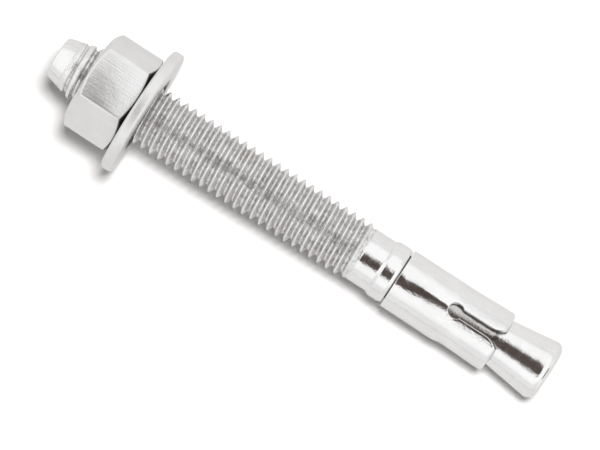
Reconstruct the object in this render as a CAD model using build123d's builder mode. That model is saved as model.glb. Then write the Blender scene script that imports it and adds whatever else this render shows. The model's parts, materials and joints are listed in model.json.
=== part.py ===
from build123d import *

import os
from math import acos, atan2, cos, degrees, hypot, radians, sin, tan

# Wedge anchor, 1/2 in - 13 UNC by 4-1/2 in, zinc-plated steel. Sizes in millimetres.
#
# A stud with a rolled thread carries a washer and a hex nut near its tip. At the other end a split
# clip sits loosely on a turned-down neck, between a collar and a cone. Tightening the nut draws the
# cone into the clip, whose leaves then spread and grip the sides of the drilled hole.
#
# Places along the anchor are counted from its tip, and angles round it from straight up.

# Stud
overall_length = 114.3
thread_diameter = 12.45
tip_diameter = 8.4
tip_half_angle = 15.6
tip_edge_radius = 0.4
shank_diameter = 11.3
shank_length = 5.6
thread_runout = 0.65
collar_below_clip = 0.275
collar_rise = 0.7
collar_land = 2.3
collar_back = 0.77
collar_back_drop = 0.275
neck_corner_radius = 0.4
cone_below_clip = 0.075
cone_half_angle = 7.7
cone_end_land = 1.8
cone_edge_radius = 1.7

# Expansion clip: a strip rolled into a split sleeve, with keyhole slots that part its leaves
clip_diameter = 12.75
clip_wall = 1.2
clip_length = 23.4
clip_neck_clearance = 0.4
clip_collar_gap = 0.35
leaf_count = 3
leaf_over_cone = 1.75
leaf_root = 13.6
leaf_flare = 0.1
keyhole_place = 12.95
keyhole_diameter = 3.2
slot_width = 1.9
slot_angle = -8.0
mouth_length = 3.3
mouth_rise = 1.5
leaf_corner_radius = 0.8
clip_edge_radius = 0.2

# Hex nut, 3/4 in across its flats
nut_projection = 7.5
nut_across_flats = 19.05
nut_height = 11.1
nut_chamfer_inset = 0.525
nut_chamfer_angle = 30.0
nut_angle = -9.2
nut_thread_clearance = 0.08
nut_countersink_rim = 0.4
nut_washer_gap = 0.05

# Flat washer, punched, with edges rounded by the die
washer_diameter = 27.0
washer_thickness = 2.4
washer_bore_clearance = 0.52
washer_edge_radius = 0.7
washer_bore_edge_radius = 0.3

# Angle round the anchor at which the turned surfaces start
section_angle = 45.0

# Sizes that follow from the clip, which is as wide as the drilled hole
clip_radius = clip_diameter / 2
clip_bore_radius = clip_radius - clip_wall
neck_diameter = clip_diameter - 2 * (clip_wall + clip_neck_clearance)
collar_diameter = clip_diameter - 2 * collar_below_clip
cone_diameter = clip_diameter - 2 * cone_below_clip

# Places along the anchor
cone_length = (cone_diameter - neck_diameter) / 2 / tan(radians(cone_half_angle))
cone_big_end = overall_length - cone_end_land
cone_start = cone_big_end - cone_length
neck_start = cone_start + leaf_over_cone - clip_length - clip_collar_gap
collar_start = neck_start - collar_back - collar_land - collar_rise
thread_end = collar_start - shank_length
thread_start = (thread_diameter - tip_diameter) / 2 / tan(radians(tip_half_angle))
nut_end = nut_projection + nut_height
washer_start = nut_end + nut_washer_gap
washer_end = washer_start + washer_thickness
clip_start = neck_start + clip_collar_gap
clip_end = clip_start + clip_length

# Lying down, the anchor touches the floor with the washer's rim and with the cone's end. Both edges
# are rounded, so the floor is the line that touches two circles in the anchor's section.
washer_edge_place = washer_end - washer_edge_radius
washer_edge_drop = washer_diameter / 2 - washer_edge_radius
cone_edge_place = overall_length - cone_edge_radius
cone_edge_drop = cone_diameter / 2 - cone_edge_radius
run = cone_edge_place - washer_edge_place
drop = washer_edge_drop - cone_edge_drop
tilt = acos((cone_edge_radius - washer_edge_radius) / hypot(run, drop)) - atan2(run, drop)

# The tip's place, with the floor at Z = 0 and the anchor's ends equally far from X = 0
tip_height = washer_edge_radius + washer_edge_place * sin(tilt) + washer_edge_drop * cos(tilt)
tip_reach = tip_diameter / 2 * sin(tilt)
cone_reach = cone_edge_place * cos(tilt) + cone_edge_drop * sin(tilt) + cone_edge_radius
tip_point = Vector((tip_reach - cone_reach) / 2, 0, tip_height)

along = Vector(cos(tilt), 0, -sin(tilt))
upward = Vector(sin(tilt), 0, cos(tilt))
anchor_axis = Axis(tip_point, along)

# Half sections are drawn on this plane: X runs along the anchor and Y is the radius. The plane
# leans to one side, so the seams of the turned surfaces are neither on top nor underneath.
seam_direction = upward.rotate(Axis((0, 0, 0), along), section_angle)
section = Plane(origin=tip_point, x_dir=along, z_dir=along.cross(seam_direction))


def facing(angle):
    """The plane through the anchor's axis that faces outward at an angle round it."""
    outward = upward.rotate(Axis((0, 0, 0), along), angle)
    return Plane(origin=tip_point, x_dir=along, z_dir=outward)


def across(place, angle):
    """The plane across the anchor at a place along it, with X at an angle round it."""
    outward = facing(angle).z_dir
    return Plane(origin=tip_point + along * place, x_dir=outward, z_dir=along)


def lies_outside(edge):
    """Whether an edge of the clip lies on its outer surface and isn't the leaves' bend line."""
    points = [edge @ (step / 4) - tip_point for step in range(5)]
    outside = min(point.cross(along).length for point in points) > clip_radius - 0.01
    off_bend = max(abs(point.dot(along) - clip_start - leaf_root) for point in points) > 0.01
    return outside and off_bend


# Stud
with BuildPart() as stud:
    with BuildSketch(section):
        with BuildLine():
            Polyline(
                (0, 0),
                (0, tip_diameter / 2),
                (thread_start, thread_diameter / 2),
                (thread_end, thread_diameter / 2),
                (thread_end + thread_runout, shank_diameter / 2),
                (collar_start, shank_diameter / 2),
                (collar_start + collar_rise, collar_diameter / 2),
                (collar_start + collar_rise + collar_land, collar_diameter / 2),
                (neck_start, collar_diameter / 2 - collar_back_drop),
                (neck_start, neck_diameter / 2),
                (cone_start, neck_diameter / 2),
                (cone_big_end, cone_diameter / 2),
                (overall_length, cone_diameter / 2),
                (overall_length, 0),
                close=True,
            )
        make_face()
    revolve(axis=anchor_axis)
    rims = stud.edges().filter_by(GeomType.CIRCLE).sort_by(anchor_axis)
    fillet(rims[-1], radius=cone_edge_radius)
    rims = stud.edges().filter_by(GeomType.CIRCLE).sort_by(anchor_axis)
    fillet(rims[0], radius=tip_edge_radius)
    corners = stud.edges().filter_by(GeomType.CIRCLE)
    neck_corner = corners.filter_by(lambda edge: abs(edge.radius - neck_diameter / 2) < 0.01)
    collar_back_height = (collar_diameter - neck_diameter) / 2 - collar_back_drop
    neck_fillet = min(neck_corner_radius, collar_back_height / 2)
    fillet(neck_corner.sort_by(anchor_axis)[0], radius=neck_fillet)

# Expansion clip: the sleeve is turned, then its seam and keyhole slots are cut through one wall each
with BuildPart() as expansion_clip:
    with BuildSketch(section):
        with BuildLine():
            Polyline(
                (clip_start, clip_bore_radius),
                (clip_start, clip_radius),
                (clip_start + leaf_root, clip_radius),
                (clip_end, clip_radius + leaf_flare),
                (clip_end, clip_bore_radius + leaf_flare),
                (clip_start + leaf_root, clip_bore_radius),
                close=True,
            )
        make_face()
    revolve(axis=anchor_axis)
    for step in range(leaf_count):
        is_seam = step == leaf_count - 1
        slot_start = clip_start - 1 if is_seam else clip_start + keyhole_place
        with BuildSketch(facing(slot_angle + 360 / leaf_count * step)):
            with BuildLine():
                straight = Line((slot_start, slot_width / 2), (clip_end - mouth_length, slot_width / 2))
                mouth = TangentArc(
                    straight @ 1,
                    (clip_end, slot_width / 2 + mouth_rise),
                    tangent=(1, 0),
                )
                Polyline(
                    mouth @ 1,
                    (clip_end, slot_width / 2 + mouth_rise + leaf_corner_radius),
                    (clip_end + 1, slot_width / 2 + mouth_rise + leaf_corner_radius),
                    (clip_end + 1, 0),
                    (slot_start, 0),
                    straight @ 0,
                )
            make_face()
            leaf_corner = vertices().sort_by_distance(mouth @ 1)[0]
            fillet(leaf_corner, radius=leaf_corner_radius)
            mirror(about=Plane.XZ)
            if not is_seam:
                with Locations((slot_start, 0)):
                    Circle(keyhole_diameter / 2)
        extrude(amount=clip_radius + 1, mode=Mode.SUBTRACT)
    outer_edges = expansion_clip.edges().filter_by(lies_outside)
    fillet(outer_edges, radius=clip_edge_radius)

# Washer
with BuildPart() as washer:
    washer_bore = thread_diameter / 2 + washer_bore_clearance
    with BuildSketch(section):
        with Locations((washer_start, washer_bore)):
            Rectangle(washer_thickness, washer_diameter / 2 - washer_bore, align=Align.MIN)
    revolve(axis=anchor_axis)
    rims = washer.edges().filter_by(GeomType.CIRCLE).group_by(SortBy.RADIUS)
    fillet(rims[-1], radius=washer_edge_radius)
    fillet(rims[0], radius=washer_bore_edge_radius)

# Hex nut: the prism is trimmed by a turned envelope, which chamfers its corners at both ends
with BuildPart() as hex_nut:
    with BuildSketch(across(nut_projection, nut_angle)):
        RegularPolygon(nut_across_flats / 2, 6, major_radius=False, rotation=30)
    extrude(amount=nut_height)
    nut_face_radius = nut_across_flats / 2 - nut_chamfer_inset
    envelope_radius = nut_across_flats / 2 / cos(radians(30)) + 1
    chamfer_depth = (envelope_radius - nut_face_radius) * tan(radians(nut_chamfer_angle))
    with BuildSketch(section):
        with BuildLine():
            Polyline(
                (nut_projection, 0),
                (nut_projection, nut_face_radius),
                (nut_projection + chamfer_depth, envelope_radius),
                (nut_end - chamfer_depth, envelope_radius),
                (nut_end, nut_face_radius),
                (nut_end, 0),
                close=True,
            )
        make_face()
    revolve(axis=anchor_axis, mode=Mode.INTERSECT)
    nut_bore = thread_diameter / 2 + nut_thread_clearance
    with BuildSketch(section):
        with BuildLine():
            Polyline(
                (nut_projection, 0),
                (nut_projection, nut_bore + nut_countersink_rim),
                (nut_projection + nut_countersink_rim, nut_bore),
                (nut_end - nut_countersink_rim, nut_bore),
                (nut_end, nut_bore + nut_countersink_rim),
                (nut_end, 0),
                close=True,
            )
        make_face()
    revolve(axis=anchor_axis, mode=Mode.SUBTRACT)

stud.part.label = "stud"
expansion_clip.part.label = "expansion_clip"
washer.part.label = "washer"
hex_nut.part.label = "hex_nut"

os.makedirs("parts", exist_ok=True)
for piece in (stud.part, expansion_clip.part, washer.part, hex_nut.part):
    export_step(piece, f"parts/{piece.label}.step")

print(f"tilt {degrees(tilt):.3f} degrees, tip at {tip_point.X:.3f}, {tip_point.Z:.3f}")
print(f"thread ends at {thread_end:.2f}, clip from {clip_start:.2f} to {clip_end:.2f}")
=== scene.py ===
import json
from math import asin, atan2, cos, exp, hypot, pi, radians, sin, sqrt, tan, tau

import bmesh
import bpy
from mathutils import Matrix, Vector


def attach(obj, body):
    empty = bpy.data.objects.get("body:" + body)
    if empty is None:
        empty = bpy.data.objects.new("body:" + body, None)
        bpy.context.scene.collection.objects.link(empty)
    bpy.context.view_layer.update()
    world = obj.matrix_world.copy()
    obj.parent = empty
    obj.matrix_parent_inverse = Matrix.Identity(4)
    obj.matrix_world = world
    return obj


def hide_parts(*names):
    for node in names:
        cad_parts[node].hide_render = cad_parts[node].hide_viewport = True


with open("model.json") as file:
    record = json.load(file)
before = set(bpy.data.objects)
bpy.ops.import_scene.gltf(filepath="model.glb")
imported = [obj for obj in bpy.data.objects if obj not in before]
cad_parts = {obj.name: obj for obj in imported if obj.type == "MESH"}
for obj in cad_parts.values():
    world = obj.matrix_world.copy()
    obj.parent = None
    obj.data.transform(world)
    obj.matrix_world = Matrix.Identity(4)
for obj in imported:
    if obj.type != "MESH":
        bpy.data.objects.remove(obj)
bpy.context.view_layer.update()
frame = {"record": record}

# A 1/2 in - 13 wedge anchor, lying on its washer's rim and its cone's end.
#
# Each piece is made on the anchor's own axes and then laid in its place: X runs along the anchor
# from its tip, Z is upright, and angles round it are counted from straight up, turning towards -Y.
mm = 0.001

# Thread, rolled and right-handed
pitch = 25.4 / 13 * mm
crest_radius = 6.215 * mm
root_radius = 5.07 * mm
flank_half_angle = radians(30)
flank_apex_radius = 6.43 * mm
crest_on_top = -0.36 * mm
thread_end = 71.2 * mm
thread_fade = 2.2 * mm
thread_cut = thread_end + 0.3 * mm

# Stud
overall_length = 114.3 * mm
tip_radius = 4.2 * mm
tip_half_angle = radians(15.6)
tip_edge_round = 0.4 * mm
tip_is_plain_to = 3.04 * mm
end_centre_radius = 1.0 * mm
shank_radius = 5.65 * mm
collar_start = 75.45 * mm
collar_rise = 0.7 * mm
collar_land = 2.3 * mm
collar_radius = 6.1 * mm
collar_back_drop = 0.275 * mm
collar_front_round = 0.5 * mm
collar_top_round = 0.4 * mm
collar_back_round = 0.12 * mm
neck_start = 79.22 * mm
neck_radius = 4.775 * mm
neck_corner_round = 0.4 * mm
neck_shift = 0.2 * mm
neck_shift_run = 1.5 * mm
cone_start = 101.22 * mm
cone_foot_round = 2.0 * mm
cone_big_end = 112.5 * mm
cone_radius = 6.3 * mm
cone_last_ring = Vector((-0.6, -0.08)) * mm
cone_end_round = 1.7 * mm
cone_end_turns = (0, 10, 20, 29, 33, 37, 50, 64, 78, 90)
turned_line_turn = 33
turned_line_depth = 0.11 * mm

# Expansion clip
clip_start = 79.42 * mm
clip_length = 23.5 * mm
clip_radius = 6.375 * mm
clip_wall = 1.2 * mm
clip_edge_round = 0.16 * mm
clip_end_round = 0.75 * mm
clip_oval = 0.2 * mm
clip_shift = -0.14 * mm
slot_lip = 0.36 * mm
slot_lip_spread = radians(13)
slot_lip_start = 1.5 * mm
slot_angle = radians(-8.0)
slot_half_width = 0.95 * mm
keyhole_place = 12.95 * mm
keyhole_radius = 1.6 * mm
mouth_length = 3.3 * mm
mouth_rise = 1.5 * mm
leaf_corner_round = 0.8 * mm
leaf_root = 12.0 * mm
leaf_root_run = 2.0 * mm
near_leaf_drop = 0.3 * mm
near_leaf_flare = 0.25 * mm
under_leaf_flare = 0.1 * mm
far_leaf_flare = 0.26 * mm

# Hex nut
nut_start = 7.5 * mm
nut_height = 11.1 * mm
nut_across_flats = 19.05 * mm
nut_face_radius = 9.0 * mm
nut_chamfer_angle = radians(30.0)
nut_angle = radians(-9.2)
nut_half_side = radians(30)
nut_flat_crown = 0.18 * mm
nut_thread_gap = 0.1 * mm
nut_minor_radius = 5.42 * mm
nut_major_radius = 6.36 * mm
nut_countersink_radius = 6.72 * mm
nut_seat_radius = nut_countersink_radius + 0.4 * mm
nut_edge_round = 0.24 * mm
nut_end = nut_start + nut_height

# Washer
washer_start = 18.65 * mm
washer_end = washer_start + 2.4 * mm
washer_radius = 13.5 * mm
washer_bore_radius = 6.745 * mm
washer_edge_round = 0.7 * mm
washer_bore_round = 0.3 * mm

# Where the anchor lies: its axis and its tip come from the mount at the nut's middle
mounts = {mount["name"]: mount for mount in frame["record"]["mounts"]}
along = Vector(mounts["wrench_on_nut"]["axis"]).normalized()
if along.x < 0:
    along.negate()
tip_point = Vector(mounts["wrench_on_nut"]["pos_m"]) - along * (nut_start + nut_end) / 2
sideways = Vector((0, 1, 0))
upward = along.cross(sideways)
lie_down = Matrix.Translation(tip_point) @ Matrix((along, sideways, upward)).transposed().to_4x4()

# How finely the pieces are divided
around = 96
arc_steps = 5
meeting = 0.002 * mm
rim_slack = 0.1 * mm
crease_angle = radians(40)
nut_crease_angle = radians(20)
mouth_steps = 9
corner_steps = 8
keyhole_steps = 16
straight_steps = 8
leaf_steps = 10
edge_shares = (0.0, 0.08, 0.22, 0.42, 0.68, 1.0)


# Making


def at(place, angle, radius):
    """A point given by its place along the anchor, its angle from straight up and its radius."""
    return Vector((place, -radius * sin(angle), radius * cos(angle)))


def angle_of(vert):
    return atan2(-vert.co.y, vert.co.z)


def put(vert, place, radius):
    """Moves a vertex to a place and radius, and leaves its angle."""
    vert.co = at(place, angle_of(vert), radius)


def rounded(corners):
    """An outline of (place, radius, round) corners as points, each corner rounded by an arc."""
    points = []
    for index, (place, radius, rounding) in enumerate(corners):
        corner = Vector((place, radius))
        if not rounding:
            points.append(corner)
            continue
        back = (Vector(corners[index - 1][:2]) - corner).normalized()
        ahead = (Vector(corners[(index + 1) % len(corners)][:2]) - corner).normalized()
        half = back.angle(ahead) / 2
        centre = corner + (back + ahead).normalized() * (rounding / sin(half))
        first = corner + back * (rounding / tan(half)) - centre
        last = corner + ahead * (rounding / tan(half)) - centre
        for step in range(arc_steps + 1):
            share = step / arc_steps
            points.append(centre + first.lerp(last, share).normalized() * rounding)
    return [tuple(point) for point in points]


def rim_at(bm, place):
    """The open edges that lie across the anchor at a place."""
    return [
        edge
        for edge in bm.edges
        if edge.is_boundary and all(abs(vert.co.x - place) < meeting for vert in edge.verts)
    ]


def extrude_rim(bm, rim, outline):
    """Draws a rim out through the rings of an outline, and returns the last ring."""
    for place, radius in outline:
        drawn = bmesh.ops.extrude_edge_only(bm, edges=rim)["geom"]
        verts = {item for item in drawn if isinstance(item, bmesh.types.BMVert)}
        for vert in verts:
            put(vert, place, radius)
        rim = [
            item
            for item in drawn
            if isinstance(item, bmesh.types.BMEdge) and set(item.verts) <= verts
        ]
    return rim


def cut_across(bm, place, side):
    """Cuts off what lies beyond a place, on the side that is 1 or -1 along the anchor."""
    bmesh.ops.bisect_plane(
        bm,
        geom=bm.verts[:] + bm.edges[:] + bm.faces[:],
        dist=meeting / 10,
        plane_co=(place, 0, 0),
        plane_no=(side, 0, 0),
        clear_outer=True,
    )


def thread_phase(place, angle):
    """How far a point is from the nearest crest, from -0.5 to 0.5 of the pitch."""
    turns = (place - crest_on_top) / pitch - angle / tau
    return (turns + 0.5) % 1 - 0.5


def thread_places(first, turns):
    """Places of a thread's points, from root to root, closer together at crests and roots."""
    shares = (0.0, 0.095, 0.16, 0.23, 0.30, 0.37, 0.43, 0.465, 0.5)
    shares += tuple(1 - share for share in shares[-2:0:-1])
    places = [first + pitch * (turn + share) for turn in range(turns) for share in shares]
    return places + [first + pitch * turns]


def threaded_skin(bm, first, turns, start_angle, radius_at):
    """A thread as one profile, spun round once and carried along by one pitch."""
    verts = [
        bm.verts.new(at(place, start_angle, crest_radius)) for place in thread_places(first, turns)
    ]
    edges = [bm.edges.new(pair) for pair in zip(verts, verts[1:])]
    bmesh.ops.spin(
        bm,
        geom=verts + edges,
        cent=(0, 0, 0),
        axis=(1, 0, 0),
        dvec=(pitch / around, 0, 0),
        angle=tau,
        steps=around,
        use_merge=False,
    )
    bmesh.ops.remove_doubles(bm, verts=bm.verts, dist=meeting)
    for vert in bm.verts:
        put(vert, vert.co.x, radius_at(vert.co.x, angle_of(vert)))


def turned(bm, outline, steps):
    """A closed outline spun right round the anchor's axis."""
    verts = [bm.verts.new(at(place, 0, radius)) for place, radius in outline]
    edges = [bm.edges.new(pair) for pair in zip(verts, verts[1:] + verts[:1])]
    bmesh.ops.spin(
        bm,
        geom=verts + edges,
        cent=(0, 0, 0),
        axis=(1, 0, 0),
        dvec=(0, 0, 0),
        angle=tau,
        steps=steps,
        use_merge=True,
    )


def finished(bm, name, node, body, material):
    """Lays a piece in its place, as an object that stands for its CAD node."""
    bmesh.ops.remove_doubles(bm, verts=bm.verts, dist=meeting / 4)
    bmesh.ops.recalc_face_normals(bm, faces=bm.faces)
    for face in bm.faces:
        face.smooth = True
    for edge in bm.edges:
        edge.smooth = edge.calc_face_angle(pi) < crease_angle
    bmesh.ops.transform(bm, matrix=lie_down, verts=bm.verts)
    mesh = bpy.data.meshes.new(name)
    bm.to_mesh(mesh)
    bm.free()
    piece = bpy.data.objects.new(name, mesh)
    bpy.context.scene.collection.objects.link(piece)
    mesh.materials.append(material)
    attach(piece, body)
    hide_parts(node)


def smooth_step(low, high, value):
    share = min(max((value - low) / (high - low), 0), 1)
    return share * share * (3 - 2 * share)


# Stud


def stud_radius_at(place, angle):
    """The thread, trimmed by the tip's cone and faded into the shank at its other end."""
    away = abs(thread_phase(place, angle)) * pitch
    flank = flank_apex_radius - away / tan(flank_half_angle)
    thread = min(max(flank, root_radius), crest_radius)
    fade = smooth_step(thread_end, thread_end - thread_fade, place)
    thread = shank_radius + (thread - shank_radius) * fade
    return min(thread, tip_radius + place * tan(tip_half_angle))


def make_stud(material):
    bm = bmesh.new()
    first = crest_on_top + pitch / 2
    turns = int((thread_cut - first) / pitch) + 1
    threaded_skin(bm, first, turns, 0.0, stud_radius_at)
    cut_across(bm, tip_is_plain_to, -1)
    cut_across(bm, thread_cut, 1)

    body = rounded(
        [
            (thread_cut, shank_radius, 0),
            (collar_start, shank_radius, collar_front_round),
            (collar_start + collar_rise, collar_radius, collar_front_round),
            (collar_start + collar_rise + collar_land, collar_radius, collar_top_round),
            (neck_start, collar_radius - collar_back_drop, collar_back_round),
            (neck_start, neck_radius, neck_corner_round),
            (cone_start, neck_radius, cone_foot_round),
            (cone_big_end + cone_last_ring.x, cone_radius + cone_last_ring.y, 0),
        ]
    )
    # The cone ends in a short land and a round, with a fine line turned into the round
    body.append((cone_big_end, cone_radius))
    for turn in cone_end_turns:
        reach = cone_end_round - (turned_line_depth if turn == turned_line_turn else 0)
        place = overall_length - cone_end_round + reach * sin(radians(turn))
        body.append((place, cone_radius - cone_end_round + reach * cos(radians(turn))))
    body.append((overall_length, end_centre_radius))
    end = extrude_rim(bm, rim_at(bm, thread_cut), body[1:])
    bmesh.ops.contextual_create(bm, geom=end)
    tip = rounded(
        [
            (tip_is_plain_to, tip_radius + tip_is_plain_to * tan(tip_half_angle), 0),
            (0, tip_radius, tip_edge_round),
            (0, end_centre_radius, 0),
        ]
    )
    end = extrude_rim(bm, rim_at(bm, tip_is_plain_to), tip[1:])
    bmesh.ops.contextual_create(bm, geom=end)
    # The neck and cone are formed a little off the thread's axis
    for vert in bm.verts:
        vert.co.y += neck_shift * smooth_step(neck_start, neck_start + neck_shift_run, vert.co.x)
    finished(bm, "threaded_stud", "stud", "stud", material)


# Hex nut


def nut_thread_radius_at(place, angle):
    """The nut's thread, opened at both ends by a countersink."""
    away = abs(thread_phase(place, angle)) * pitch
    flank = flank_apex_radius + nut_thread_gap - away / tan(flank_half_angle)
    thread = min(max(flank, nut_minor_radius), nut_major_radius)
    depth = min(place - nut_start, nut_end - place)
    return max(thread, nut_countersink_radius - depth)


def hex_radius(angle):
    """Distance of the nut's outline from its axis, with its flats slightly crowned."""
    off_flat = (angle - nut_angle + nut_half_side) % (2 * nut_half_side) - nut_half_side
    half_flat = nut_across_flats / 2
    crown = nut_flat_crown * (tan(off_flat) / tan(nut_half_side)) ** 2
    return (half_flat - crown) / cos(off_flat)


def make_nut(material):
    bm = bmesh.new()
    corner = nut_angle + nut_half_side
    first = crest_on_top + pitch * (0.5 + corner / tau)
    first += pitch * (int((nut_start - first) / pitch) - 1)
    turns = int((nut_end - first) / pitch) + 1
    threaded_skin(bm, first, turns, corner, nut_thread_radius_at)
    cut_across(bm, nut_start, -1)
    cut_across(bm, nut_end, 1)
    bore_rims = [rim_at(bm, nut_start), rim_at(bm, nut_end)]

    # The outside: an end face, a chamfer, the flats, the other chamfer and the other end face
    ring = bmesh.ops.create_circle(bm, segments=2 * around, radius=1)["verts"]
    for index, vert in enumerate(ring):
        vert.co = at(nut_start, corner + tau * index / len(ring), nut_seat_radius)
    first_rim = [edge for edge in bm.edges if edge.is_wire]
    outer = extrude_rim(bm, first_rim, [(nut_start, nut_face_radius)])
    for face_place, inward in ((nut_start, 1), (nut_end, -1)):
        outer = extrude_rim(bm, outer, [(face_place, nut_face_radius)])
        for vert in {vert for edge in outer for vert in edge.verts}:
            radius = hex_radius(angle_of(vert))
            depth = (radius - nut_face_radius) * tan(nut_chamfer_angle)
            put(vert, face_place + inward * depth, radius)
    outer = extrude_rim(bm, outer, [(nut_end, nut_face_radius), (nut_end, nut_seat_radius)])
    bmesh.ops.bridge_loops(bm, edges=bore_rims[0] + first_rim)
    bmesh.ops.bridge_loops(bm, edges=bore_rims[1] + outer)
    bmesh.ops.recalc_face_normals(bm, faces=bm.faces)
    # The creases outside the end faces' rims are the flats' edges, at the corners and chamfers
    rim_radius = nut_face_radius - rim_slack
    creases = [
        edge
        for edge in bm.edges
        if min(hypot(vert.co.y, vert.co.z) for vert in edge.verts) > rim_radius
        and edge.calc_face_angle(0) > nut_crease_angle
    ]
    bmesh.ops.bevel(
        bm,
        geom=creases,
        offset=nut_edge_round,
        offset_type="OFFSET",
        segments=2,
        profile=0.5,
        affect="EDGES",
        material=-1,
        clamp_overlap=True,
    )
    finished(bm, "tapped_nut", "hex_nut", "nut", material)


# Washer


def make_washer(material):
    bm = bmesh.new()
    corners = [
        (washer_start, washer_bore_radius, washer_bore_round),
        (washer_start, washer_radius, washer_edge_round),
        (washer_end, washer_radius, washer_edge_round),
        (washer_end, washer_bore_radius, washer_bore_round),
    ]
    turned(bm, rounded(corners), 2 * around)
    finished(bm, "flat_washer", "washer", "washer", material)


# Expansion clip


def mouth_outline():
    """A slot's half width over the clip's length, from its straight part to the leaf's end."""
    mouth_radius = (mouth_length**2 + mouth_rise**2) / (2 * mouth_rise)
    start = clip_length - mouth_length
    centre = Vector((start, slot_half_width + mouth_radius))
    reach = mouth_radius - leaf_corner_round
    corner_place = clip_length - leaf_corner_round
    corner = Vector((corner_place, centre.y - sqrt(reach**2 - (corner_place - start) ** 2)))
    meet = atan2(corner.x - start, centre.y - corner.y)
    points = []
    for step in range(mouth_steps + 1):
        turn = meet * step / mouth_steps
        points.append(centre + mouth_radius * Vector((sin(turn), -cos(turn))))
    for step in range(1, corner_steps + 1):
        turn = meet + (pi / 2 - meet) * step / corner_steps
        points.append(corner + leaf_corner_round * Vector((sin(turn), -cos(turn))))
    return points


def keyhole_outline():
    """A keyhole's half width, from its round end along the slot's straight part."""
    last = pi - asin(slot_half_width / keyhole_radius)
    points = []
    for step in range(keyhole_steps + 1):
        turn = last * step / keyhole_steps
        place = keyhole_place - keyhole_radius * cos(turn)
        points.append(Vector((place, keyhole_radius * sin(turn))))
    straight_start = points[-1].x
    straight_run = clip_length - mouth_length - straight_start
    for step in range(1, straight_steps):
        place = straight_start + straight_run * step / straight_steps
        points.append(Vector((place, slot_half_width)))
    return points


def distance_to(outline, point):
    """Distance from a point to the nearest stretch of an outline."""
    nearest = 1.0
    for start, end in zip(outline, outline[1:]):
        run = end - start
        share = min(max((point - start).dot(run) / run.length_squared, 0), 1)
        nearest = min(nearest, (point - start - run * share).length)
    return nearest


def eased(depth, rounding):
    """How far an edge with a rounding has dropped at a depth from its outline."""
    short = rounding - min(max(depth, 0), rounding)
    return rounding - sqrt(rounding**2 - short**2)


def leaf_bend(place, angle):
    """How far the clip stands out from a plain sleeve, by place and angle."""
    past_root = smooth_step(leaf_root, leaf_root + leaf_root_run, place)
    flare = smooth_step(leaf_root, clip_length, place)
    lip = smooth_step(slot_lip_start, keyhole_place - keyhole_radius, place)
    off_slot = (angle - slot_angle + pi / 3) % (tau / 3) - pi / 3
    bend = slot_lip * lip * exp(-((off_slot / slot_lip_spread) ** 2))
    bend -= clip_oval * sin(2 * angle) * (1 - past_root)
    leaf = int(((angle - slot_angle) / tau * 3) % 3)
    flares = (near_leaf_flare, under_leaf_flare, far_leaf_flare)
    bend += flares[leaf] * flare
    if leaf == 0:
        bend -= near_leaf_drop * past_root
    return bend


def slot_half_at(place, outline, plain_half):
    """Half the width of a slot's gap at a place, along its outline or beside it."""
    for start, end in zip(outline, outline[1:]):
        if start.x - meeting / 10 <= place <= end.x + meeting / 10:
            share = (place - start.x) / max(end.x - start.x, meeting / 100)
            return start.y + (end.y - start.y) * min(max(share, 0), 1)
    return plain_half


def make_clip(material):
    bm = bmesh.new()

    # The strip lies flat at first: X runs along the anchor, and Y over its outer surface
    slot_outline = keyhole_outline() + mouth_outline()
    seam_outline = [Vector((0, slot_half_width))] + mouth_outline()
    keyhole_start = slot_outline[0].x
    edge_rows = [clip_edge_round * share for share in edge_shares]
    plain_run = keyhole_start - 2 * clip_edge_round
    plain_rows = [clip_edge_round + plain_run * step / leaf_steps for step in range(1, leaf_steps)]
    rows = edge_rows + plain_rows
    rows += [keyhole_start - row for row in edge_rows[:0:-1]]
    rows += [point.x for point in slot_outline]

    leaf_span = tau / 3 * clip_radius
    near = [share * clip_edge_round / leaf_span for share in edge_shares]
    rest = 0.5 - near[-1]
    half = near + [near[-1] + rest * step / (leaf_steps - 1) for step in range(1, leaf_steps)]
    shares = half + [1 - share for share in half[-2::-1]]
    columns = [(leaf, share) for leaf in range(3) for share in shares]

    last_row = len(rows) - 1
    last_column = len(columns) - 1
    bmesh.ops.create_grid(bm, x_segments=last_row, y_segments=last_column, size=1)
    gaps = []
    for face in bm.faces:
        crossed = {columns[round((vert.co.y + 1) / 2 * last_column)][0] for vert in face.verts}
        if len(crossed) > 1:
            gaps.append(face)
    for vert in bm.verts:
        place = rows[round((vert.co.x + 1) / 2 * last_row)]
        leaf, share = columns[round((vert.co.y + 1) / 2 * last_column)]
        slot_half = slot_half_at(place, slot_outline, 0.0)
        seam_half = slot_half_at(place, seam_outline, slot_half_width)
        left = leaf * leaf_span + (seam_half if leaf == 0 else slot_half)
        right = (leaf + 1) * leaf_span - (seam_half if leaf == 2 else slot_half)
        vert.co = Vector((place, left + (right - left) * share, 0))
    bmesh.ops.delete(bm, geom=gaps, context="FACES")
    bmesh.ops.remove_doubles(bm, verts=bm.verts, dist=meeting)

    # The strip gets its wall, its outside edges are rounded, and it is rolled round the neck
    bmesh.ops.recalc_face_normals(bm, faces=bm.faces)
    bmesh.ops.solidify(bm, geom=bm.faces[:], thickness=clip_wall)
    heights = [vert.co.z for vert in bm.verts]
    middle = (min(heights) + max(heights)) / 2
    for vert in bm.verts:
        place, across, height = vert.co
        depth = place
        for slot in range(4):
            outline = seam_outline if slot in (0, 3) else slot_outline
            beside = Vector((place, abs(across - slot * leaf_span)))
            if beside.y < leaf_span / 2 + mm:
                depth = min(depth, distance_to(outline, beside))
        drop = max(eased(depth, clip_edge_round), eased(clip_length - place, clip_end_round))
        angle = slot_angle - tau / 3 + across / clip_radius
        radius = clip_radius - drop if height > middle else clip_radius - clip_wall
        vert.co = at(clip_start + place, angle, radius + leaf_bend(place, angle))
        vert.co.y += clip_shift
    finished(bm, "split_clip", "expansion_clip", "clip", material)


# Materials

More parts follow.
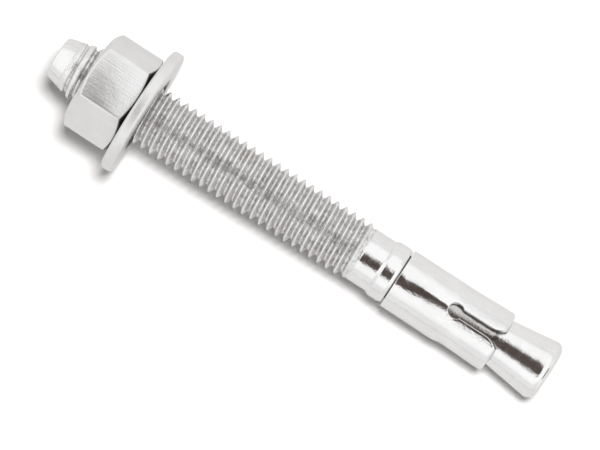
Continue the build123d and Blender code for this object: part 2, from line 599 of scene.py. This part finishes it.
# The plate's tones from dark to light, the streaks' share in them, and the weights of its relief
plate_tones = ((0.3, (0.80, 0.795, 0.79)), (0.7, (0.87, 0.87, 0.87)))
streak_share = 0.4
dent_depth = 2.5
grain_depth = 1.1

# Tones that the plate is multiplied by: painted shade where the nut meets the washer, round the
# washer's bore and over the neck, and painted shade with mottled residue in the thread's grooves
nut_seat_painted_shade = (0.2, 0.18, 0.17, 1)
bore_painted_shade = (0.4, 0.37, 0.36, 1)
washer_seat_painted_shade = (0.28, 0.26, 0.25, 1)
neck_shade = (0.66, 0.65, 0.64, 1)
groove_residue_and_shade = ((0.34, (0.55, 0.525, 0.51)), (0.56, (1.0, 1.0, 1.0)))

# How much duller and coarser the rolled thread is than the rest of the stud
thread_dulling = 0.09
groove_dulling = 0.1
thread_coarsening = 2.5


def feed(links, socket, value):
    """Links a socket to another, or sets its value."""
    if isinstance(value, bpy.types.NodeSocket):
        links.new(value, socket)
    elif value is not None:
        socket.default_value = value


def math_node(nodes, links, operation, first, second=None, third=None):
    node = nodes.new("ShaderNodeMath")
    node.operation = operation
    for socket, value in zip(node.inputs, (first, second, third)):
        feed(links, socket, value)
    return node.outputs[0]


def mix_node(nodes, links, factor, first, second, blend="MIX"):
    """Two colours, mixed by a factor."""
    mix = nodes.new("ShaderNodeMix")
    mix.data_type = "RGBA"
    mix.blend_type = blend
    feed(links, mix.inputs["Factor"], factor)
    feed(links, mix.inputs["A"], first)
    feed(links, mix.inputs["B"], second)
    return mix.outputs["Result"]


def noise_node(nodes, links, vector, scale, detail, roughness=0.5):
    noise = nodes.new("ShaderNodeTexNoise")
    noise.inputs["Scale"].default_value = scale
    noise.inputs["Detail"].default_value = detail
    noise.inputs["Roughness"].default_value = roughness
    links.new(vector, noise.inputs["Vector"])
    return noise.outputs[0]


def ramp_node(nodes, links, value, stops):
    """A colour ramp through (position, colour) stops."""
    node = nodes.new("ShaderNodeValToRGB")
    elements = node.color_ramp.elements
    while len(elements) < len(stops):
        elements.new(0.5)
    for element, (position, color) in zip(elements, stops):
        element.position = position
        element.color = (*color, 1)
    links.new(value, node.inputs["Fac"])
    return node.outputs["Color"]


def new_group(name, inputs, outputs):
    """A shader node group with its sockets made, and the nodes that read and fill them."""
    group = bpy.data.node_groups.new(name, "ShaderNodeTree")
    for direction, sockets in (("INPUT", inputs), ("OUTPUT", outputs)):
        for socket_name, kind in sockets:
            group.interface.new_socket(
                name=socket_name,
                in_out=direction,
                socket_type="NodeSocket" + kind,
            )
    given = group.nodes.new("NodeGroupInput").outputs
    results = group.nodes.new("NodeGroupOutput").inputs
    return group.nodes, group.links, given, results


def place_group(nodes, links, name, values):
    """Places a shader node group and gives its inputs their values."""
    node = nodes.new("ShaderNodeGroup")
    node.node_tree = bpy.data.node_groups[name]
    for socket_name, value in values.items():
        feed(links, node.inputs[socket_name], value)
    return node.outputs


def make_plate_group():
    """Bright zinc plate: clouds and streaks in its tone, and dents, peel and grain in its relief."""
    nodes, links, given, results = new_group(
        "zinc plate",
        [
            ("Vector", "Vector"),
            ("Streak Stretch", "Vector"),
            ("Streak Depth", "Float"),
            ("Roughness", "Float"),
            ("Roughness Spread", "Float"),
        ],
        [("Color", "Color"), ("Roughness", "Float"), ("Height", "Float")],
    )
    stretched = nodes.new("ShaderNodeVectorMath")
    stretched.operation = "MULTIPLY"
    links.new(given["Vector"], stretched.inputs[0])
    links.new(given["Streak Stretch"], stretched.inputs[1])
    streaks = noise_node(nodes, links, stretched.outputs[0], scale=1000, detail=4)
    clouds = noise_node(nodes, links, given["Vector"], scale=260, detail=3)
    dents = noise_node(nodes, links, given["Vector"], scale=320, detail=1)
    peel = noise_node(nodes, links, given["Vector"], scale=1600, detail=3)
    grain = noise_node(nodes, links, given["Vector"], scale=2800, detail=2)

    cloudy = math_node(nodes, links, "MULTIPLY", clouds, 1 - streak_share)
    mixed = math_node(nodes, links, "MULTIPLY_ADD", streaks, streak_share, cloudy)
    links.new(ramp_node(nodes, links, mixed, plate_tones), results["Color"])

    centred = math_node(nodes, links, "SUBTRACT", streaks, 0.5)
    spread = given["Roughness Spread"]
    rough = math_node(nodes, links, "MULTIPLY_ADD", centred, spread, given["Roughness"])
    links.new(rough, results["Roughness"])

    height = math_node(nodes, links, "MULTIPLY_ADD", streaks, given["Streak Depth"], peel)
    height = math_node(nodes, links, "MULTIPLY_ADD", dents, dent_depth, height)
    height = math_node(nodes, links, "MULTIPLY_ADD", grain, grain_depth, height)
    links.new(height, results["Height"])


def make_measure_group():
    """A point's place along the anchor and its distance from the anchor's axis."""
    nodes, links, given, results = new_group(
        "anchor measure",
        [("Vector", "Vector")],
        [("Place", "Float"), ("Radius", "Float")],
    )
    parts = nodes.new("ShaderNodeSeparateXYZ")
    links.new(given["Vector"], parts.inputs[0])
    across = nodes.new("ShaderNodeCombineXYZ")
    links.new(parts.outputs["Y"], across.inputs["Y"])
    links.new(parts.outputs["Z"], across.inputs["Z"])
    radius = nodes.new("ShaderNodeVectorMath")
    radius.operation = "LENGTH"
    links.new(across.outputs[0], radius.inputs[0])
    links.new(parts.outputs["X"], results["Place"])
    links.new(radius.outputs["Value"], results["Radius"])


def make_fade_group():
    """A mask that goes from 0 where a measure is clear to 1 where it is full."""
    nodes, links, given, results = new_group(
        "fade",
        [("Measure", "Float"), ("Clear At", "Float"), ("Full At", "Float")],
        [("Mask", "Float")],
    )
    ramp = nodes.new("ShaderNodeMapRange")
    links.new(given["Measure"], ramp.inputs["Value"])
    links.new(given["Clear At"], ramp.inputs["From Min"])
    links.new(given["Full At"], ramp.inputs["From Max"])
    links.new(ramp.outputs["Result"], results["Mask"])


def make_painted_shade_group():
    """A colour, multiplied by a tone where the mask is 1: painted shade, with residue in the
    grooves.
    """
    nodes, links, given, results = new_group(
        "painted shade",
        [("Color", "Color"), ("Mask", "Float"), ("Tone", "Color")],
        [("Color", "Color")],
    )
    toned = mix_node(nodes, links, given["Mask"], given["Color"], given["Tone"], "MULTIPLY")
    links.new(toned, results["Color"])


def faded(nodes, links, measure, clear, full):
    values = {"Measure": measure, "Clear At": clear, "Full At": full}
    return place_group(nodes, links, "fade", values)["Mask"]


def paint_shade(nodes, links, color, mask, tone):
    values = {"Color": color, "Mask": mask, "Tone": tone}
    return place_group(nodes, links, "painted shade", values)["Color"]


def shade_nut_seat(nodes, links, local, look):
    """Painted shade on the chamfer that faces the washer."""
    measure = place_group(nodes, links, "anchor measure", {"Vector": local})
    slope = tan(nut_chamfer_angle)
    reach = math_node(nodes, links, "MULTIPLY_ADD", measure["Radius"], slope, measure["Place"])
    chamfer = nut_end + nut_face_radius * slope
    shaded_seat = faded(nodes, links, reach, clear=chamfer - 0.22 * mm, full=chamfer - 0.04 * mm)
    look["color"] = paint_shade(nodes, links, look["color"], shaded_seat, nut_seat_painted_shade)


def shade_washer(nodes, links, local, look):
    """Painted shade round the bore, and darker painted shade on the face under the nut."""
    measure = place_group(nodes, links, "anchor measure", {"Vector": local})
    place, radius = measure["Place"], measure["Radius"]
    # Painted shade round the bore
    shaded_bore = faded(
        nodes,
        links,
        radius,
        clear=washer_bore_radius + 1.7 * mm,
        full=washer_bore_radius + 0.8 * mm,
    )
    look["color"] = paint_shade(nodes, links, look["color"], shaded_bore, bore_painted_shade)
    # Darker painted shade on the face under the nut
    face = faded(
        nodes,
        links,
        place,
        clear=washer_start + 0.2 * mm,
        full=washer_start + 0.04 * mm,
    )
    under_nut = faded(
        nodes,
        links,
        radius,
        clear=nut_face_radius + 1.9 * mm,
        full=nut_face_radius + 0.7 * mm,
    )
    shaded_seat = math_node(nodes, links, "MULTIPLY", face, under_nut)
    look["color"] = paint_shade(nodes, links, look["color"], shaded_seat, washer_seat_painted_shade)


def shade_and_wear_stud(nodes, links, local, look):
    """Painted shade over the neck, painted shade with mottled residue in the thread's grooves, and a
    duller, coarser thread, duller still in its grooves.
    """
    measure = place_group(nodes, links, "anchor measure", {"Vector": local})
    place, radius = measure["Place"], measure["Radius"]
    past_collar = faded(
        nodes,
        links,
        place,
        clear=neck_start - 0.4 * mm,
        full=neck_start + 0.4 * mm,
    )
    before_cone = faded(
        nodes,
        links,
        place,
        clear=cone_start + 1.2 * mm,
        full=cone_start + 0.4 * mm,
    )
    neck = math_node(nodes, links, "MULTIPLY", past_collar, before_cone)
    color = paint_shade(nodes, links, look["color"], neck, neck_shade)

    before_shank = faded(
        nodes,
        links,
        place,
        clear=thread_end + 0.1 * mm,
        full=thread_end - 0.5 * mm,
    )
    past_tip = faded(
        nodes,
        links,
        place,
        clear=tip_is_plain_to - 0.1 * mm,
        full=tip_is_plain_to + 0.3 * mm,
    )
    thread = math_node(nodes, links, "MULTIPLY", before_shank, past_tip)

    # A groove's depth is counted from the crests, or from the tip's cone where that is lower
    tip_cone = math_node(nodes, links, "MULTIPLY_ADD", place, tan(tip_half_angle), tip_radius)
    crest = math_node(nodes, links, "MINIMUM", tip_cone, crest_radius)
    below = math_node(nodes, links, "SUBTRACT", crest, radius)
    groove = faded(nodes, links, below, clear=0.05 * mm, full=0.5 * mm)
    groove = math_node(nodes, links, "MULTIPLY", groove, thread)

    # Painted shade with mottled residue in the grooves
    mottle = noise_node(nodes, links, local, scale=1100, detail=4, roughness=0.7)
    residue_and_shade = ramp_node(nodes, links, mottle, groove_residue_and_shade)
    look["color"] = paint_shade(nodes, links, color, groove, residue_and_shade)
    rough = math_node(nodes, links, "MULTIPLY_ADD", thread, thread_dulling, look["roughness"])
    look["roughness"] = math_node(nodes, links, "MULTIPLY_ADD", groove, groove_dulling, rough)
    coarser = math_node(nodes, links, "MULTIPLY_ADD", thread, thread_coarsening, 1.0)
    look["height"] = math_node(nodes, links, "MULTIPLY", look["height"], coarser)


def make_zinc(name, stretch, streak_depth, roughness, spread, relief_depth, shade_and_wear=None):
    """A zinc-plated steel surface with its own streaks and gloss, and the painted shade and residue
    that its piece is given.
    """
    material = bpy.data.materials.new(name)
    material.use_nodes = True
    nodes, links = material.node_tree.nodes, material.node_tree.links
    shader = nodes["Principled BSDF"]
    shader.inputs["Metallic"].default_value = 1.0
    shader.inputs["Specular Tint"].default_value = (0.8, 0.8, 0.8, 1)

    # The pattern's X runs along the anchor from its tip, as in the making of the pieces
    position = nodes.new("ShaderNodeTexCoord")
    turn = nodes.new("ShaderNodeMapping")
    turn.vector_type = "TEXTURE"
    turn.inputs["Location"].default_value = tip_point
    turn.inputs["Rotation"].default_value = lie_down.to_euler()
    links.new(position.outputs["Object"], turn.inputs["Vector"])
    local = turn.outputs["Vector"]

    plate = place_group(
        nodes,
        links,
        "zinc plate",
        {
            "Vector": local,
            "Streak Stretch": stretch,
            "Streak Depth": streak_depth,
            "Roughness": roughness,
            "Roughness Spread": spread,
        },
    )
    look = {
        "color": plate["Color"],
        "roughness": plate["Roughness"],
        "height": plate["Height"],
    }
    if shade_and_wear:
        shade_and_wear(nodes, links, local, look)
    links.new(look["color"], shader.inputs["Base Color"])
    links.new(look["roughness"], shader.inputs["Roughness"])
    relief = nodes.new("ShaderNodeBump")
    relief.inputs["Distance"].default_value = relief_depth
    links.new(look["height"], relief.inputs["Height"])
    links.new(relief.outputs["Normal"], shader.inputs["Normal"])
    return material


# Studio
floor_half_size = 1.5
floor_tone = (0.78, 0.775, 0.77, 1)
floor_tone_in_view = (0.90, 0.895, 0.89, 1)
floor_lift_in_view = 0.04

# The tent's brightness by height, from straight down at 0 to straight up at 1
tent_levels = (
    (0.0, 0.9),
    (0.5, 0.9),
    (0.52, 1.0),
    (0.57, 0.95),
    (0.65, 0.87),
    (0.76, 1.14),
    (1.0, 1.15),
)
fill_tone = (0.17, 0.158, 0.155, 1)

# The tent's dark opening over the anchor, as angles from straight up
opening_along = radians(-6.5)
opening_across = radians(7.5)
opening_half_length = radians(19)
opening_half_width = radians(20.5)
opening_slant = 0.5
opening_width_here = 1.05
opening_taper = 1.3
opening_least_width = 0.2
opening_squareness = 4
opening_edge = (0.4, 1.9)
least_up_share = 0.01
opening_tone = (0.092, 0.07, 0.062, 1)


def make_floor():
    """A pale floor that stays white in view and keeps the anchor's shadow."""
    bm = bmesh.new()
    bmesh.ops.create_grid(bm, x_segments=1, y_segments=1, size=floor_half_size)
    mesh = bpy.data.meshes.new("floor")
    bm.to_mesh(mesh)
    bm.free()
    floor = bpy.data.objects.new("floor", mesh)
    bpy.context.scene.collection.objects.link(floor)

    material = bpy.data.materials.new("pale floor")
    material.use_nodes = True
    nodes, links = material.node_tree.nodes, material.node_tree.links
    shader = nodes["Principled BSDF"]
    shader.inputs["Roughness"].default_value = 0.9
    shader.inputs["Specular IOR Level"].default_value = 0.0
    in_view = nodes.new("ShaderNodeLightPath").outputs["Is Camera Ray"]
    tone = mix_node(nodes, links, in_view, floor_tone, floor_tone_in_view)
    links.new(tone, shader.inputs["Base Color"])
    lift = math_node(nodes, links, "MULTIPLY", in_view, floor_lift_in_view)
    shader.inputs["Emission Color"].default_value = (1, 1, 1, 1)
    links.new(lift, shader.inputs["Emission Strength"])
    mesh.materials.append(material)


def share_towards(nodes, links, direction, axis):
    """How much of a direction points along an axis."""
    node = nodes.new("ShaderNodeVectorMath")
    node.operation = "DOT_PRODUCT"
    links.new(direction, node.inputs[0])
    node.inputs[1].default_value = axis
    return node.outputs["Value"]


def opening_mask(nodes, links, direction):
    """0 in the tent's opening, a slanted and tapered rounded rectangle, and 1 outside it."""
    up_share = share_towards(nodes, links, direction, upward)
    up_share = math_node(nodes, links, "MAXIMUM", up_share, least_up_share)
    offsets = []
    for axis, middle in ((along, opening_along), (-sideways, opening_across)):
        share = share_towards(nodes, links, direction, axis)
        share = math_node(nodes, links, "DIVIDE", share, up_share)
        offsets.append(math_node(nodes, links, "SUBTRACT", share, tan(middle)))
    lengthwise, crosswise = offsets

    slant = math_node(nodes, links, "MULTIPLY", lengthwise, opening_slant)
    crosswise = math_node(nodes, links, "SUBTRACT", crosswise, slant)
    taper = (lengthwise, -opening_taper, opening_width_here)
    width = math_node(nodes, links, "MULTIPLY_ADD", *taper)
    width = math_node(nodes, links, "MAXIMUM", width, opening_least_width)
    crosswise = math_node(nodes, links, "DIVIDE", crosswise, width)

    powers = []
    for offset, half in ((lengthwise, opening_half_length), (crosswise, opening_half_width)):
        share = math_node(nodes, links, "DIVIDE", offset, tan(half))
        share = math_node(nodes, links, "ABSOLUTE", share)
        powers.append(math_node(nodes, links, "POWER", share, opening_squareness))
    edge = nodes.new("ShaderNodeMapRange")
    edge.interpolation_type = "SMOOTHSTEP"
    edge.inputs["From Min"].default_value, edge.inputs["From Max"].default_value = opening_edge
    links.new(math_node(nodes, links, "ADD", *powers), edge.inputs["Value"])
    return edge.outputs["Result"]


def make_world():
    """A white tent with a dark opening over the anchor, seen by the metal only."""
    world = bpy.data.worlds.new("tent")
    bpy.context.scene.world = world
    world.use_nodes = True
    nodes, links = world.node_tree.nodes, world.node_tree.links
    direction = nodes.new("ShaderNodeTexCoord").outputs["Generated"]

    height = share_towards(nodes, links, direction, (0, 0, 1))
    height = math_node(nodes, links, "MULTIPLY_ADD", height, 0.5, 0.5)
    levels = [(place, (level, level, level)) for place, level in tent_levels]
    tent = ramp_node(nodes, links, height, levels)
    tent = mix_node(nodes, links, opening_mask(nodes, links, direction), opening_tone, tent)

    # Metal sees the tent, the camera sees plain white, and the fill light is weak and warm
    path = nodes.new("ShaderNodeLightPath").outputs
    rays = (path["Is Glossy Ray"], path["Is Transmission Ray"])
    mirrored = math_node(nodes, links, "MAXIMUM", *rays)
    tone = mix_node(nodes, links, mirrored, fill_tone, tent)
    tone = mix_node(nodes, links, path["Is Camera Ray"], tone, (1, 1, 1, 1))
    links.new(tone, nodes["Background"].inputs["Color"])


def make_lamp(name, offset, size, power):
    """A soft square lamp that hangs off the anchor's middle and faces it."""
    data = bpy.data.lights.new(name, "AREA")
    data.shape = "SQUARE"
    data.size = size
    data.energy = power
    lamp = bpy.data.objects.new(name, data)
    lamp.location = Vector(offset)
    lamp.rotation_mode = "QUATERNION"
    lamp.rotation_quaternion = (-Vector(offset)).to_track_quat("-Z", "Y")
    lamp.visible_glossy = False
    bpy.context.scene.collection.objects.link(lamp)


def make_camera():
    """Looks down on the anchor, which runs from upper left to lower right of the picture."""
    distance = 800 * mm
    foot = 72 * mm
    middle = 57.8 * mm
    middle_side = -1.84 * mm
    roll = radians(-33.05)
    data = bpy.data.cameras.new("camera")
    data.lens = 245.5
    data.sensor_width = 36
    data.clip_start = 0.01
    data.clip_end = 10
    camera = bpy.data.objects.new("camera", data)
    eye = tip_point + along * foot + upward * distance
    target = tip_point + along * middle + sideways * middle_side
    back = (eye - target).normalized()
    right = (along - back * along.dot(back)).normalized()
    top = back.cross(right)
    turned_right = right * cos(roll) - top * sin(roll)
    turned_top = right * sin(roll) + top * cos(roll)
    facing = Matrix((turned_right, turned_top, back)).transposed().to_4x4()
    camera.matrix_world = Matrix.Translation(eye) @ facing
    bpy.context.scene.collection.objects.link(camera)
    bpy.context.scene.camera = camera


make_plate_group()
make_measure_group()
make_fade_group()
make_painted_shade_group()
make_stud(
    make_zinc(
        "bright zinc on the stud",
        stretch=(3.0, 0.3, 0.3),
        streak_depth=0.5,
        roughness=0.14,
        spread=0.12,
        relief_depth=0.022 * mm,
        shade_and_wear=shade_and_wear_stud,
    )
)
make_nut(
    make_zinc(
        "satin zinc on the nut",
        stretch=(0.1, 3.5, 3.5),
        streak_depth=1.6,
        roughness=0.33,
        spread=0.2,
        relief_depth=0.024 * mm,
        shade_and_wear=shade_nut_seat,
    )
)
make_washer(
    make_zinc(
        "bright zinc on the washer",
        stretch=(1.0, 1.0, 1.0),
        streak_depth=0.4,
        roughness=0.48,
        spread=0.12,
        relief_depth=0.035 * mm,
        shade_and_wear=shade_washer,
    )
)
make_clip(
    make_zinc(
        "bright zinc on the clip",
        stretch=(0.3, 2.0, 2.0),
        streak_depth=0.3,
        roughness=0.12,
        spread=0.1,
        relief_depth=0.026 * mm,
    )
)
make_floor()
make_world()
make_lamp("key", offset=(0.13, 0.21, 1.2), size=0.25, power=15.5)
make_camera()
bpy.context.scene.view_settings.view_transform = "Standard"
